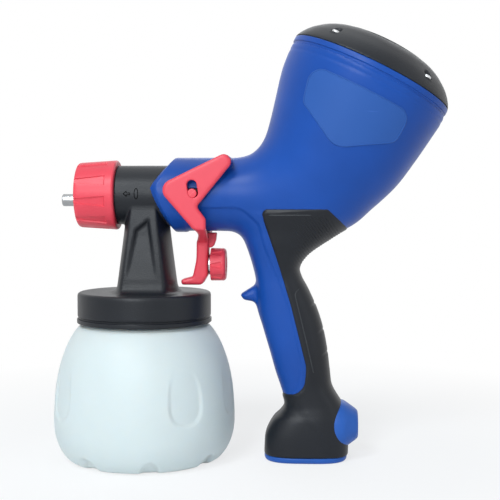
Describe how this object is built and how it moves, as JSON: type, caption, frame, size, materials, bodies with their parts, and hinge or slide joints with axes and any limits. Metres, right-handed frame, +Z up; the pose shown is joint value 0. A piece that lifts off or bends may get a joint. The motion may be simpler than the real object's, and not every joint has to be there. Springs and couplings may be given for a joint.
{
  "type": "handheld paint sprayer",
  "caption": "Handheld turbine paint sprayer: nozzle and red air cap on a twist-off spray head with a lobed paint cup, a yoke trigger with flow knob, and a fan horn over a pistol grip.",
  "frame": {"origin": "middle of the paint cup's base, on the plane that the cup and the grip's foot stand on", "axes": "+X from the nozzle towards the back, +Z up; the nozzle points along -X"},
  "size_m": [0.2621, 0.121, 0.2892],
  "materials": {
    "blue_shell": "satin moulded ABS",
    "light_blue": "satin moulded ABS",
    "grip_rubber": "soft overmoulded rubber",
    "black_plastic": "satin glass-filled nylon",
    "dark_plastic": "matt moulded nylon",
    "red_plastic": "satin moulded acetal",
    "steel": "bright",
    "brass": "turned",
    "copper_winding": "enamelled wire on laminations",
    "fan_alloy": "cast, as machined",
    "filter_foam": "open-cell foam",
    "white_plastic": "natural",
    "cup_plastic": "translucent blow-moulded polyethylene"
  },
  "bodies": {
    "housing": {"housing_left": "blue_shell", "housing_right": "blue_shell", "grip_left": "grip_rubber", "grip_right": "grip_rubber", "foot_plate": "light_blue", "cord_inlet": "light_blue", "housing_screws": "steel", "foot_screws": "steel", "rear_cover": "black_plastic", "cover_screws": "steel", "air_filter": "filter_foam", "fan_housing": "dark_plastic", "diffuser": "dark_plastic", "motor_can": "steel", "motor_core": "steel", "bearings": "steel", "brushes": "dark_plastic", "motor_mount": "grip_rubber", "power_switch": "dark_plastic", "terminal_block": "white_plastic", "capacitor": "white_plastic", "cord_clamp": "dark_plastic", "guide_plate": "dark_plastic", "bayonet_ring": "dark_plastic", "return_spring": "steel", "pivot_bushings": "brass", "trigger_pin": "steel"},
    "rotor": {"turbine_fan": "fan_alloy", "motor_shaft": "steel", "fan_nut": "brass", "armature": "copper_winding", "commutator": "brass"},
    "trigger": {"trigger": "red_plastic", "knob_spring": "steel"},
    "collar": {"knob_collar": "steel"},
    "knob": {"flow_knob": "red_plastic"},
    "draw_bar": {"draw_bar": "fan_alloy", "cross_pin": "red_plastic"},
    "plunger": {"switch_plunger": "red_plastic"},
    "head": {"spray_head": "black_plastic", "nozzle_body": "black_plastic", "nozzle_tip": "steel", "air_insert": "black_plastic", "cap_seal": "grip_rubber", "needle_packing": "white_plastic", "packing_nut": "brass", "pickup_tube": "white_plastic", "vent_valve": "white_plastic", "cup_gasket": "grip_rubber"},
    "air_cap": {"air_cap": "red_plastic"},
    "needle": {"needle": "steel"},
    "cup": {"cup": "cup_plastic"}
  },
  "joints": [
    {"name": "trigger_pull", "type": "hinge", "parent": "housing", "child": "trigger", "pos_m": [0.0561, 0, 0.1973], "axis": [0, -1, 0], "range_deg": [0, 10], "stiffness_Nm_per_rad": 0.8, "springref_deg": -8.59},
    {"name": "draw_slide", "type": "slide", "parent": "housing", "child": "draw_bar", "axis": [1, 0, 0], "range_m": [0, 0.0039], "deforming": ["return_spring"]},
    {"name": "plunger_slide", "type": "slide", "parent": "housing", "child": "plunger", "axis": [1, 0, 0], "range_m": [0, 0.0039]},
    {"name": "needle_slide", "type": "slide", "parent": "head", "child": "needle", "axis": [1, 0, 0], "range_m": [0, 0.0039]},
    {"name": "knob_travel", "type": "slide", "parent": "trigger", "child": "collar", "axis": [1, 0, 0], "range_m": [0, 0.0021], "deforming": ["knob_spring"]},
    {"name": "knob_turn", "type": "hinge", "parent": "collar", "child": "knob", "pos_m": [0.045, 0, 0.1297], "axis": [1, 0, 0], "range_deg": [0, 1080]},
    {"name": "head_twist", "type": "hinge", "parent": "housing", "child": "head", "pos_m": [0, 0, 0.176], "axis": [1, 0, 0], "range_deg": [0, 12]},
    {"name": "air_cap_turn", "type": "hinge", "parent": "head", "child": "air_cap", "pos_m": [-0.03, 0, 0.176], "axis": [1, 0, 0], "range_deg": [0, 360]},
    {"name": "cup_turn", "type": "hinge", "parent": "head", "child": "cup", "pos_m": [0, 0, 0.05], "axis": [0, 0, 1], "range_deg": [0, 360]},
    {"name": "turbine_spin", "type": "hinge", "parent": "housing", "child": "rotor", "pos_m": [0.1517, 0, 0.2571], "axis": [0.444, 0, 0.896], "continuous": true}
  ],
  "couplings": [
    {"joint": "draw_slide", "follows": "trigger_pull", "m_per_rad": 0.0222},
    {"joint": "plunger_slide", "follows": "trigger_pull", "m_per_rad": 0.0222},
    {"joint": "needle_slide", "follows": "trigger_pull", "m_per_rad": 0.0222},
    {"joint": "knob_travel", "follows": "knob_turn", "m_per_rad": 0.0001114}
  ]
}
